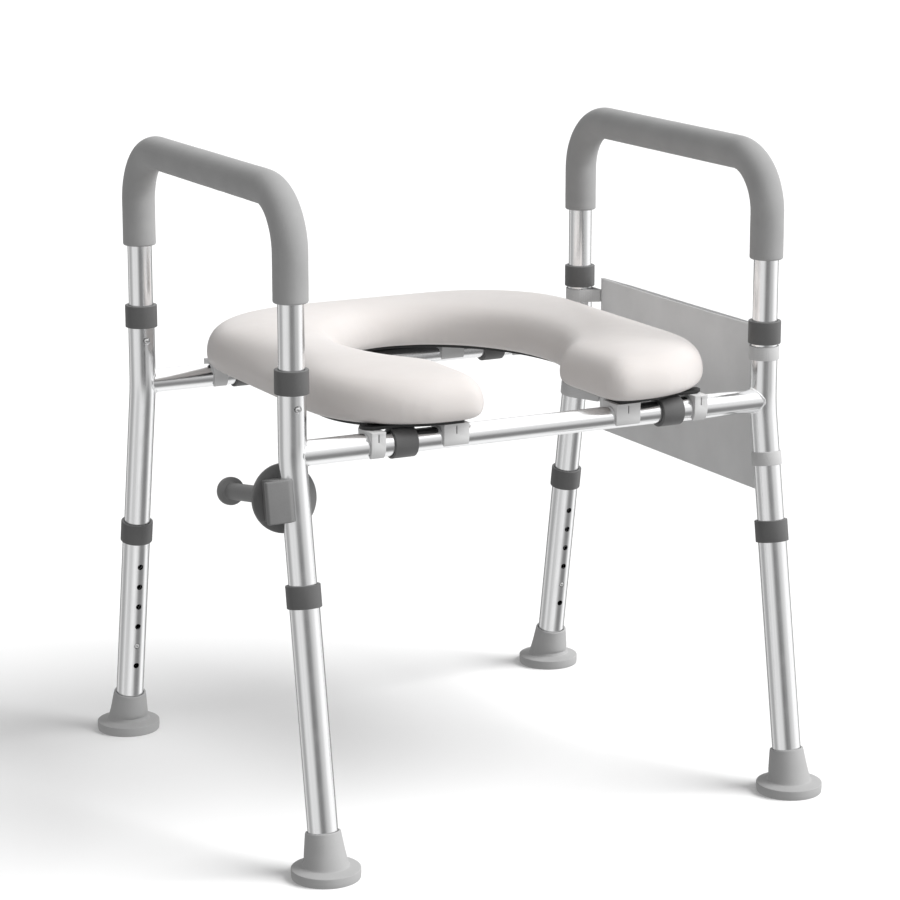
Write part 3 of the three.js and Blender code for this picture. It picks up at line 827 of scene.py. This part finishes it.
def rubber_foot(corner):
    """Rings carried from the level, grooved disc up the tilted neck, and back down inside the socket."""
    node = corner.node("rubber_foot")
    disc = half(node).x
    middle = centre(node)
    neck, base, top = FOOT["neck"], FOOT["base"], FOOT["top"]
    bore = LEG_R + GAP
    tread, wide, slope = FOOT["tread"], FOOT["groove_wide"], 0.6 * MM
    treads = [(0.0, tread)]
    for k in range(5):
        rib = FOOT["groove_from"] + k * FOOT["groove_pitch"]
        treads += [(rib, tread), (rib + slope, 0), (rib + wide - slope, 0), (rib + wide, tread)]
    start = FOOT["shoulder"] + 4 * MM
    base_r = base - 0.6 * MM
    level = rounded([
        (disc - 3 * MM, 0, 0), (disc - 0.4 * MM, 0, 0.8 * MM), (disc, 4 * MM, 3 * MM),
        (disc, FOOT["wall"], 0.9 * MM), (base + 1 * MM, FOOT["shoulder"], 2.4 * MM), (base_r, start, 0),
    ], 5, closed=False)
    rings = [(Vector((middle.x, middle.y, z)), Z_AXIS, radius) for radius, z in treads + level]
    lip = top - 1.6 * MM
    upper = [(base_r + (neck - base_r) * k / 8, start + (lip - start) * k / 8) for k in range(1, 9)]
    for a in np.linspace(0.3, 1.57, 5):
        upper.append((neck - 0.9 * MM * (1 - math.cos(a)), lip + 1.6 * MM * math.sin(a)))
    upper += [(bore + 0.5 * MM, top), (bore, top - 0.7 * MM), (bore, FOOT["socket"]), (0.0, FOOT["socket"])]
    for radius, z in upper:
        lean = min(1.0, (z - FOOT["shoulder"]) / (12 * MM))
        on_disc = Vector((middle.x, middle.y, z))
        place = on_disc.lerp(corner.at_height(z), lean)
        rings.append((place, Z_AXIS.lerp(-corner.down, lean).normalized(), radius))
    sides = 72
    vertices = []
    for place, axis, radius in rings:
        upward = axis.cross(X_AXIS).normalized()
        for k in range(sides):
            angle = 2 * math.pi * k / sides
            vertices.append(place + radius * (math.cos(angle) * X_AXIS + math.sin(angle) * upward))
    faces = loop_faces(len(rings), sides, False)
    piece = new_piece(corner.node("foot"), vertices, faces, MATERIALS["foot"], 38)
    stands_for(piece, node, corner.node("leg"))


# ---------- seat ----------
def arc(x, y, rx, ry, start, end, count):
    """Points on an ellipse's arc, in degrees."""
    angles = [math.radians(start + (end - start) * k / count) for k in range(count + 1)]
    return [(x + rx * math.cos(a), y + ry * math.sin(a)) for a in angles]


def seat_outline(inset):
    """The seat's plan, an open-fronted U, drawn inside its full outline by inset."""
    lowest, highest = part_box("seat_cushion")
    wide = highest.x - inset
    front = lowest.y + inset
    back = highest.y - inset
    corner = SEAT["front_corner"] - inset
    back_x = SEAT["back_x"] - inset
    back_y = SEAT["back_y"] - inset
    gap = SEAT["gap"] + inset
    lobe = max(SEAT["lobe"] - inset, 1 * MM)
    hole_x = SEAT["hole_x"] + inset
    hole_y = SEAT["hole_y"] + inset
    meet = math.degrees(math.asin(gap / hole_x))
    half_plan = arc(gap + lobe, front + lobe, lobe, lobe, 180, 270, 14)
    half_plan += arc(wide - corner, front + corner, corner, corner, 270, 360, 20)
    half_plan += arc(wide - back_x, back - back_y, back_x, back_y, 0, 90, 24)
    inner = arc(0, SEAT["hole_centre"], hole_x, hole_y, 90, -90 + meet, 34)
    right = half_plan
    left = [(-x, y) for x, y in reversed(half_plan)]
    hole = [(-x, y) for x, y in reversed(inner)][:-1] + inner
    return right + left + hole


def cushion():
    """A crowned, rounded pad, blown up a little by a cloth simulation that holds its underside still."""
    lowest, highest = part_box("seat_cushion")
    bottom = lowest.z
    top = highest.z - CUSHION["below_top"]
    rings = []
    for angle in np.linspace(0, math.pi / 2, 7):
        inset = CUSHION["edge_in"] * (1 - math.sin(angle))
        rings.append((inset, bottom + CUSHION["edge_up"] * (1 - math.cos(angle))))
    side_top = bottom + CUSHION["side"]
    for angle in np.linspace(0, math.pi / 2, 14):
        inset = CUSHION["crown"] * (1 - math.cos(angle) ** 0.8)
        rings.append((inset, side_top + (top - side_top) * math.sin(angle) ** 0.85))
    outlines = [seat_outline(inset + CUSHION["shrink"]) for inset, _ in rings]
    count = len(outlines[0])
    vertices = [(x, y, z) for outline, (_, z) in zip(outlines, rings) for x, y in outline]
    piece = new_piece("seat_pad", vertices, capped_faces(len(rings), count), MATERIALS["cushion"])
    remesh = piece.modifiers.new("remesh", "REMESH")
    remesh.mode = "VOXEL"
    remesh.voxel_size = CUSHION["voxel"]
    settle(piece)
    relax(piece, bottom, 6)
    inflate(piece, bottom + 3 * MM, 3.0, 4 * MM)
    relax(piece, bottom, 14)
    divide = piece.modifiers.new("divide", "SUBSURF")
    divide.levels = 1
    divide.render_levels = 1
    settle(piece)
    shade(piece, 180)
    piece.data.materials.clear()
    piece.data.materials.append(MATERIALS["cushion"])
    stands_for(piece, "seat_cushion", "seat")


def relax(piece, bottom, rounds):
    """Evens out the mesh's steps, leaving the flat underside where it is."""
    work = bmesh.new()
    work.from_mesh(piece.data)
    for _ in range(rounds):
        axes = {"use_axis_x": True, "use_axis_y": True, "use_axis_z": True}
        bmesh.ops.smooth_vert(work, verts=work.verts, factor=0.5, **axes)
        for vertex in work.verts:
            vertex.co.z = max(vertex.co.z, bottom)
    work.to_mesh(piece.data)
    work.free()


def inflate(piece, hold_below, pressure, cap):
    """Blows a closed skin up for 20 frames of cloth simulation, moving no point further than cap."""
    rest = [v.co.copy() for v in piece.data.vertices]
    held = piece.vertex_groups.new(name="held")
    held.add([i for i, co in enumerate(rest) if co.z < hold_below], 1.0, "REPLACE")
    cloth = piece.modifiers.new("cloth", "CLOTH")
    cloth.settings.quality = 5
    cloth.settings.mass = 0.3
    cloth.settings.bending_stiffness = 6
    cloth.settings.use_pressure = True
    cloth.settings.uniform_pressure_force = pressure
    cloth.settings.vertex_group_mass = "held"
    cloth.settings.effector_weights.gravity = 0
    scene = bpy.context.scene
    for number in range(1, 21):
        scene.frame_set(number)
    graph = bpy.context.evaluated_depsgraph_get()
    blown = [v.co.copy() for v in piece.evaluated_get(graph).data.vertices]
    piece.modifiers.clear()
    piece.vertex_groups.clear()
    scene.frame_set(1)
    for vertex, start, end in zip(piece.data.vertices, rest, blown):
        move = end - start
        if move.length > cap:
            move *= cap / move.length
        vertex.co = start + move


def base_board():
    """The board under the cushion, with an ear reaching out over each narrow clip."""
    lowest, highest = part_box("seat_base_board")
    outline = seat_outline(high("seat_cushion").x - highest.x)
    piece = prism("seat_board", outline, lowest.z, highest.z, Matrix.Identity(4), MATERIALS["board"])
    ears = []
    for end in ENDS.values():
        for side in SIDES.values():
            root, x, near, far, chamfer = EAR["root"], EAR["x"], EAR["near"], EAR["far"], EAR["chamfer"]
            corners = [(root, near), (x, near), (x, far - chamfer), (x - chamfer, far), (root, far)]
            corners = [(side * a, end * b) for a, b in corners]
            ears.append(prism("tool", corners, lowest.z, highest.z, Matrix.Identity(4)))
    combine(piece, "UNION", *ears)
    bevelled(piece, 0.8 * MM, 2)
    stands_for(piece, "seat_base_board", "seat")


def clip(node, name, tube_r):
    """A springy clip: lips that hug the crossbar, a neck up to the board, and a slit down its face."""
    lowest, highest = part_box(node)
    end = 1 if centre(node).y > 0 else -1
    bar = centre(("front" if end < 0 else "rear") + "_crossbar_tube")
    inner = tube_r + GAP
    outer = inner + 2.6 * MM
    top = highest.z - bar.z
    droop = math.asin(min(0.9, 0.82 * (bar.z - lowest.z) / outer))
    flank = [(-outer - 0.4 * MM, top, 0), (-outer + 0.2 * MM, top - 4 * MM, 3 * MM), (-outer, 0, 0)]
    flank = rounded(flank, 3, closed=False)[:-1]
    lip = math.degrees(droop)
    outline = flank + arc(0, 0, outer, outer, 180, 180 + lip, 8)
    outline += arc(0, 0, inner, inner, 180 + lip, -lip, 48) + arc(0, 0, outer, outer, -lip, 0, 8)
    outline += [(-x, y) for x, y in reversed(flank)]
    turn = Matrix(((0, 0, 1, 0), (1, 0, 0, bar.y), (0, 1, 0, bar.z), (0, 0, 0, 1)))
    piece = prism(name, outline, lowest.x, highest.x, turn, MATERIALS["clip"])
    wide, start, end_z = 0.7 * MM, 5.5 * MM, top - 2 * MM
    slit = [(-wide, start), (wide, start), (wide, end_z), (-wide, end_z)]
    middle = (lowest.x + highest.x) / 2
    across = Matrix(((1, 0, 0, middle), (0, 0, 1, 0), (0, 1, 0, bar.z), (0, 0, 0, 1)))
    near = sorted((bar.y + end * (outer + 3 * MM), bar.y + end * (outer - 4 * MM)))
    cut(piece, prism("tool", slit, near[0], near[1], across))
    bevelled(piece, 0.5 * MM, 3, 50)
    stands_for(piece, node, "seat")


def clips():
    for corner in CORNERS:
        clip(corner.node("wide_clip"), corner.node("centre_saddle"), BAR_R)
        clip(corner.node("narrow_clip"), corner.node("stub_saddle"), STUB_R)


# ---------- paper holder ----------
def leg_axes(corner):
    """The leg's own axes: x across, y behind it, z up along it, from the corner of the bend."""
    up = -corner.down
    axes = Matrix((X_AXIS, up.cross(X_AXIS), up)).transposed().to_4x4()
    axes.translation = corner.bend
    return axes


def holder_clamp():
    """A front plate on a narrower body that wraps round the upright, with a pin behind for the spindle."""
    place = leg_axes(LEFT_FRONT)
    left, right, body, wrap = HOLDER["left"], HOLDER["right"], HOLDER["body"], HOLDER["wrap"]
    depth = HOLDER["depth"]
    behind = HOLDER["plate"] - depth
    step = 5 * MM
    outline = rounded([
        (left, -depth, 2.2 * MM), (right - 6 * MM, -depth, 4 * MM), (right, step - depth, 3 * MM),
        (right, depth - step, 0), (wrap, depth - step, 1.5 * MM), (wrap, depth, 1.5 * MM),
        (body, depth, 2 * MM), (body, behind, 2 * MM), (left, behind, 2.2 * MM),
    ], 5)
    middle = -HOLDER["along"]
    ends = (middle - HOLDER["height"] / 2, middle + HOLDER["height"] / 2)
    piece = prism("paper_clamp", outline, *ends, place, MATERIALS["holder"])
    bevelled(piece, 1.6 * MM, 4, 50)
    line = Line([LEFT_FRONT.bend, LEFT_FRONT.below(2 * HOLDER["along"])])
    cut(piece, rod(line, -HOLDER["along"], 3 * HOLDER["along"], UPRIGHT_R + GAP))
    root = place @ Vector((SPINDLE["x"], depth - 1 * MM, middle))
    tip = place @ Vector((SPINDLE["x"], depth + 8 * MM, middle))
    combine(piece, "UNION", rod(Line([root, tip]), 0, 9 * MM, SPINDLE["pin_r"], 32, None, 0.5 * MM))
    shade(piece)
    stands_for(piece, "paper_holder_clamp", "left_side")


def holder_spindle():
    s = SPINDLE
    node = "paper_holder_spindle"
    place = leg_axes(LEFT_FRONT)
    start = HOLDER["depth"] + GAP
    root = place @ Vector((s["x"], 0, -HOLDER["along"]))
    tip = place @ Vector((s["x"], s["length"], -HOLDER["along"]))
    line = Line([root, tip])
    bore = s["pin_r"] + GAP
    profile = rounded([
        (start, bore, 0), (start, s["flange_r"], 1.2 * MM), (start + s["flange"], s["flange_r"], 1.4 * MM),
        (start + s["flange"], s["hub_r"] + 2 * MM, 2 * MM), (s["hub_end"], s["hub_r"], 2.5 * MM),
        (s["hub_end"] + 4 * MM, s["rod_r"], 3 * MM), (s["length"] - 10 * MM, s["rod_r"], 1.5 * MM),
        (s["length"] - 8 * MM, s["cap_r"], 1.5 * MM), (s["length"], s["cap_r"], 3 * MM), (s["length"], 0, 0),
        (start + 9 * MM, 0, 0), (start + 9 * MM, bore, 0),
    ], 5)
    piece = swept("paper_spindle_arm", line, profile, MATERIALS["holder"], 72)
    stands_for(piece, node, "paper_spindle")


# ---------- magazine bag ----------
def bag():
    """A cloth pouch: loops of both sheets from the bottom seam to the hemmed top, outside and then inside."""
    lowest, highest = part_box("magazine_bag")
    seam_x = lowest.x + BAG["seam_in"]
    middle_y = (lowest.y + highest.y) / 2
    long = (highest.y - lowest.y) / 2
    tall = highest.z - lowest.z + BAG["above_box"]
    seam_side = BAG["seam_gap"] + BAG["hem"] + BAG["stitch"]
    fullness = {1: highest.x - seam_x - seam_side, -1: 0.1 * MM}
    columns = 72
    rows = 40

    def loop(share, inset, lift=0.0):
        """One loop at a share of the height; inset draws it inwards by a cloth's thickness."""
        z = lowest.z + tall * share + lift
        hem = BAG["hem"] if share > HEM_FROM else 0.0
        points = []
        for k in range(2 * columns):
            sheet = 1 if k < columns else -1
            across = sheet * (1 - 2 * ((k % columns) / columns))
            bulge = (1 - abs(across) ** 4) * (1 - (1 - share) ** 3 * 0.75)
            sag = BAG["sag"] * (1 - across ** 2) * share ** 4
            stitch = BAG["stitch"] if abs(across) > STITCH_FROM else 0.0
            away = BAG["seam_gap"] + fullness[sheet] * bulge + hem + stitch - inset
            away = 0 if k % columns == 0 else max(away, 0.1 * MM)
            points.append(Vector((seam_x + sheet * away, middle_y + across * (long - inset), z - sag)))
        return points

    shares = [k / rows for k in range(rows + 1)]
    loops = [loop(share, 0.0) for share in shares]
    loops += [loop(share, BAG["cloth"], 0.0 if share else BAG["cloth"]) for share in reversed(shares)]
    vertices = [p for ring in loops for p in ring]
    faces = capped_faces(len(loops), 2 * columns)
    piece = new_piece("magazine_pouch", vertices, faces, MATERIALS["bag"], 60)
    stands_for(piece, "magazine_bag", "right_side")


def strap(corner, level):
    """Webbing looped round an upright, with both of its ends sewn into the bag's edge."""
    node = f"{corner.end_name}_{level}_bag_strap"
    lowest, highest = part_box(node)
    bag_edge = low("magazine_bag").y if corner.end < 0 else high("magazine_bag").y
    leaning = level == "lower"
    z = (lowest.z + highest.z) / 2
    up = -corner.down if leaning else Z_AXIS
    middle = corner.at_height(z) if leaning else corner.above(z)
    toward = X_AXIS.cross(up)
    toward = toward if toward.y * corner.end < 0 else -toward
    radius = UPRIGHT_R + GAP + STRAP["thick"] / 2
    reach = abs(middle.y - bag_edge) + 1.6 * MM
    tip = (radius - 1.1 * STRAP["thick"], reach)
    touch = math.atan2(tip[1], tip[0]) + math.acos(radius / math.hypot(*tip))
    wrapped = [Vector(p) for p in arc(0, 0, radius, radius, math.degrees(touch), 360, 63)]
    path = [Vector(tip).lerp(wrapped[0], k / 8) for k in range(8)] + wrapped
    path += [Vector((radius, reach * k / 8)) for k in range(1, 9)]
    wide, thick = STRAP["wide"] / 2, STRAP["thick"] / 2
    section = rounded([(-thick, -wide, thick * 0.8), (thick, -wide, thick * 0.8), (thick, wide, thick * 0.8),
                       (-thick, wide, thick * 0.8)], 3)
    vertices = []
    for k, place in enumerate(path):
        ahead = (path[min(k + 1, len(path) - 1)] - path[max(k - 1, 0)]).normalized()
        for offset, rise in section:
            x = place.x + ahead.y * offset
            y = place.y - ahead.x * offset
            vertices.append(middle + X_AXIS * x + toward * y + up * rise)
    faces = capped_faces(len(path), len(section))
    piece = new_piece(f"{corner.end_name}_{level}_webbing", vertices, faces, MATERIALS["strap"], 40)
    stands_for(piece, node, "right_side")


# ---------- everything ----------
def build():
    for side_name, side in SIDES.items():
        handle(side_name, side)
        foam_grip(side_name, side)
    for corner in CORNERS:
        upright(corner)
        collars(corner)
        leg_extension(corner)
        rubber_foot(corner)
        buttons(corner)
        if corner.side > 0:
            for level in LEVELS:
                strap(corner, level)
    for end_name in ENDS:
        crossbar(end_name)
    cushion()
    base_board()
    clips()
    holder_clamp()
    holder_spindle()
    bag()


# ---------- studio ----------
CAMERA_AZIMUTH = -27.625
CAMERA_ELEVATION = 13.232
CAMERA_DISTANCE = 3.377
CAMERA_LENS = 121.4
CAMERA_TARGET = Vector((1.7 * MM, 0, 360 * MM))


def direction(azimuth, elevation):
    a = math.radians(azimuth)
    e = math.radians(elevation)
    return Vector((math.sin(a) * math.cos(e), -math.cos(a) * math.cos(e), math.sin(e)))


def aimed(name, data, back, distance):
    """An object that looks at the camera's target from a direction."""
    made = bpy.data.objects.new(name, data)
    bpy.context.scene.collection.objects.link(made)
    made.location = CAMERA_TARGET + back * distance
    made.rotation_mode = "QUATERNION"
    made.rotation_quaternion = (-back).to_track_quat("-Z", "Y")
    return made


def camera():
    data = bpy.data.cameras.new("camera")
    data.lens = CAMERA_LENS
    data.sensor_width = 36
    back = direction(CAMERA_AZIMUTH, CAMERA_ELEVATION)
    bpy.context.scene.camera = aimed("camera", data, back, CAMERA_DISTANCE)


def floor():
    size = 30.0
    vertices = [(-size, -size, 0), (size, -size, 0), (size, size, 0), (-size, size, 0)]
    material, tree, bsdf = new_material("floor", Roughness=0.85, Specular_IOR_Level=0.2)
    slow = noise(tree, object_place(tree), 1.5, 2.0)
    tree.links.new(shades(tree, slow, grey(0.93), grey(0.95)), bsdf.inputs["Base Color"])
    piece = new_piece("floor", vertices, [(0, 1, 2, 3)], material)
    piece.visible_glossy = False
    piece.visible_diffuse = False


KEY = {"azimuth": 82, "elevation": 43, "strength": 3.4, "angle": 38}


def key_light():
    """A very wide, soft sun from the right, which lights the floor evenly."""
    data = bpy.data.lights.new("key", "SUN")
    data.energy = KEY["strength"]
    data.angle = math.radians(KEY["angle"])
    back = direction(CAMERA_AZIMUTH + KEY["azimuth"], KEY["elevation"])
    aimed("key", data, back, 4).visible_glossy = False


def world():
    """A studio with one look for soft light and one for reflections; its flags give tubes their shape."""
    made = bpy.data.worlds.new("studio")
    bpy.context.scene.world = made
    made.use_nodes = True
    tree = made.node_tree
    background = tree.nodes["Background"]
    place = add(tree, "TexCoord").outputs["Generated"]

    def toward(vector, start, end, first, last):
        limits = {"From_Min": start, "From_Max": end, "To_Min": first, "To_Max": last}
        smooth = {"interpolation_type": "SMOOTHSTEP"}
        return add(tree, "MapRange", smooth, Value=dot(tree, place, vector), **limits).outputs["Result"]

    right = direction(CAMERA_AZIMUTH + 90, 0)
    mirrored = toward(right, -0.6, 0.8, GLOSS["left"], GLOSS["right"])
    mirrored = maths(tree, "ADD", mirrored, toward(Z_AXIS, 0.2, 0.6, 0.0, GLOSS["top"]))
    for azimuth, elevation, wide, tall, depth in FLAGS:
        azimuth += CAMERA_AZIMUTH
        along = dot(tree, place, direction(azimuth + 90, 0) / math.sin(math.radians(wide)))
        rise = dot(tree, place, direction(azimuth, elevation + 90) / math.sin(math.radians(tall)))
        square = maths(tree, "MULTIPLY_ADD", rise, rise, maths(tree, "MULTIPLY", along, along))
        fading = maths(tree, "MULTIPLY", maths(tree, "MULTIPLY", square, square), -1.0)
        ahead = toward(direction(azimuth, elevation), 0.0, 0.2, 0.0, -depth)
        mirrored = maths(tree, "MULTIPLY_ADD", maths(tree, "EXPONENT", fading), ahead, mirrored)
    mirrored = maths(tree, "MAXIMUM", mirrored, 0.03)
    soft = toward(Z_AXIS, -0.3, 0.3, SOFT["below"], SOFT["above"])
    soft = maths(tree, "ADD", soft, toward(right, -0.8, 0.9, 0.0, SOFT["right"]))
    rays = add(tree, "LightPath").outputs
    single = {"data_type": "FLOAT"}
    lit = add(tree, "Mix", single, Factor=rays["Is Glossy Ray"], i2=soft, i3=mirrored).outputs[0]
    seen = add(tree, "Mix", single, Factor=rays["Is Camera Ray"], i2=lit, i3=BACKDROP).outputs[0]
    tree.links.new(seen, background.inputs["Strength"])
    background.inputs["Color"].default_value = (1, 1, 1, 1)


BACKDROP = 0.97
SOFT = {"below": 0.68, "above": 0.45, "right": 0.08}
GLOSS = {"left": 0.82, "right": 1.15, "top": 0.35}
# each flag: azimuth from the camera and elevation of its middle, width and height in degrees, and depth
FLAGS = [
    (16, -5, 31, 21, 0.81),
    (62, -36, 30, 24, 0.9),
    (-95, -10, 22, 45, 0.4),
    (-38, -30, 16, 11, 0.22),
    (58, 2, 16, 22, 0.3),
    (150, -8, 18, 30, 0.85),
    (-150, -8, 18, 30, 0.6),
]


def studio():
    camera()
    floor()
    world()
    key_light()
    bpy.context.scene.view_settings.view_transform = "Standard"


build()
studio()
bpy.context.view_layer.update()
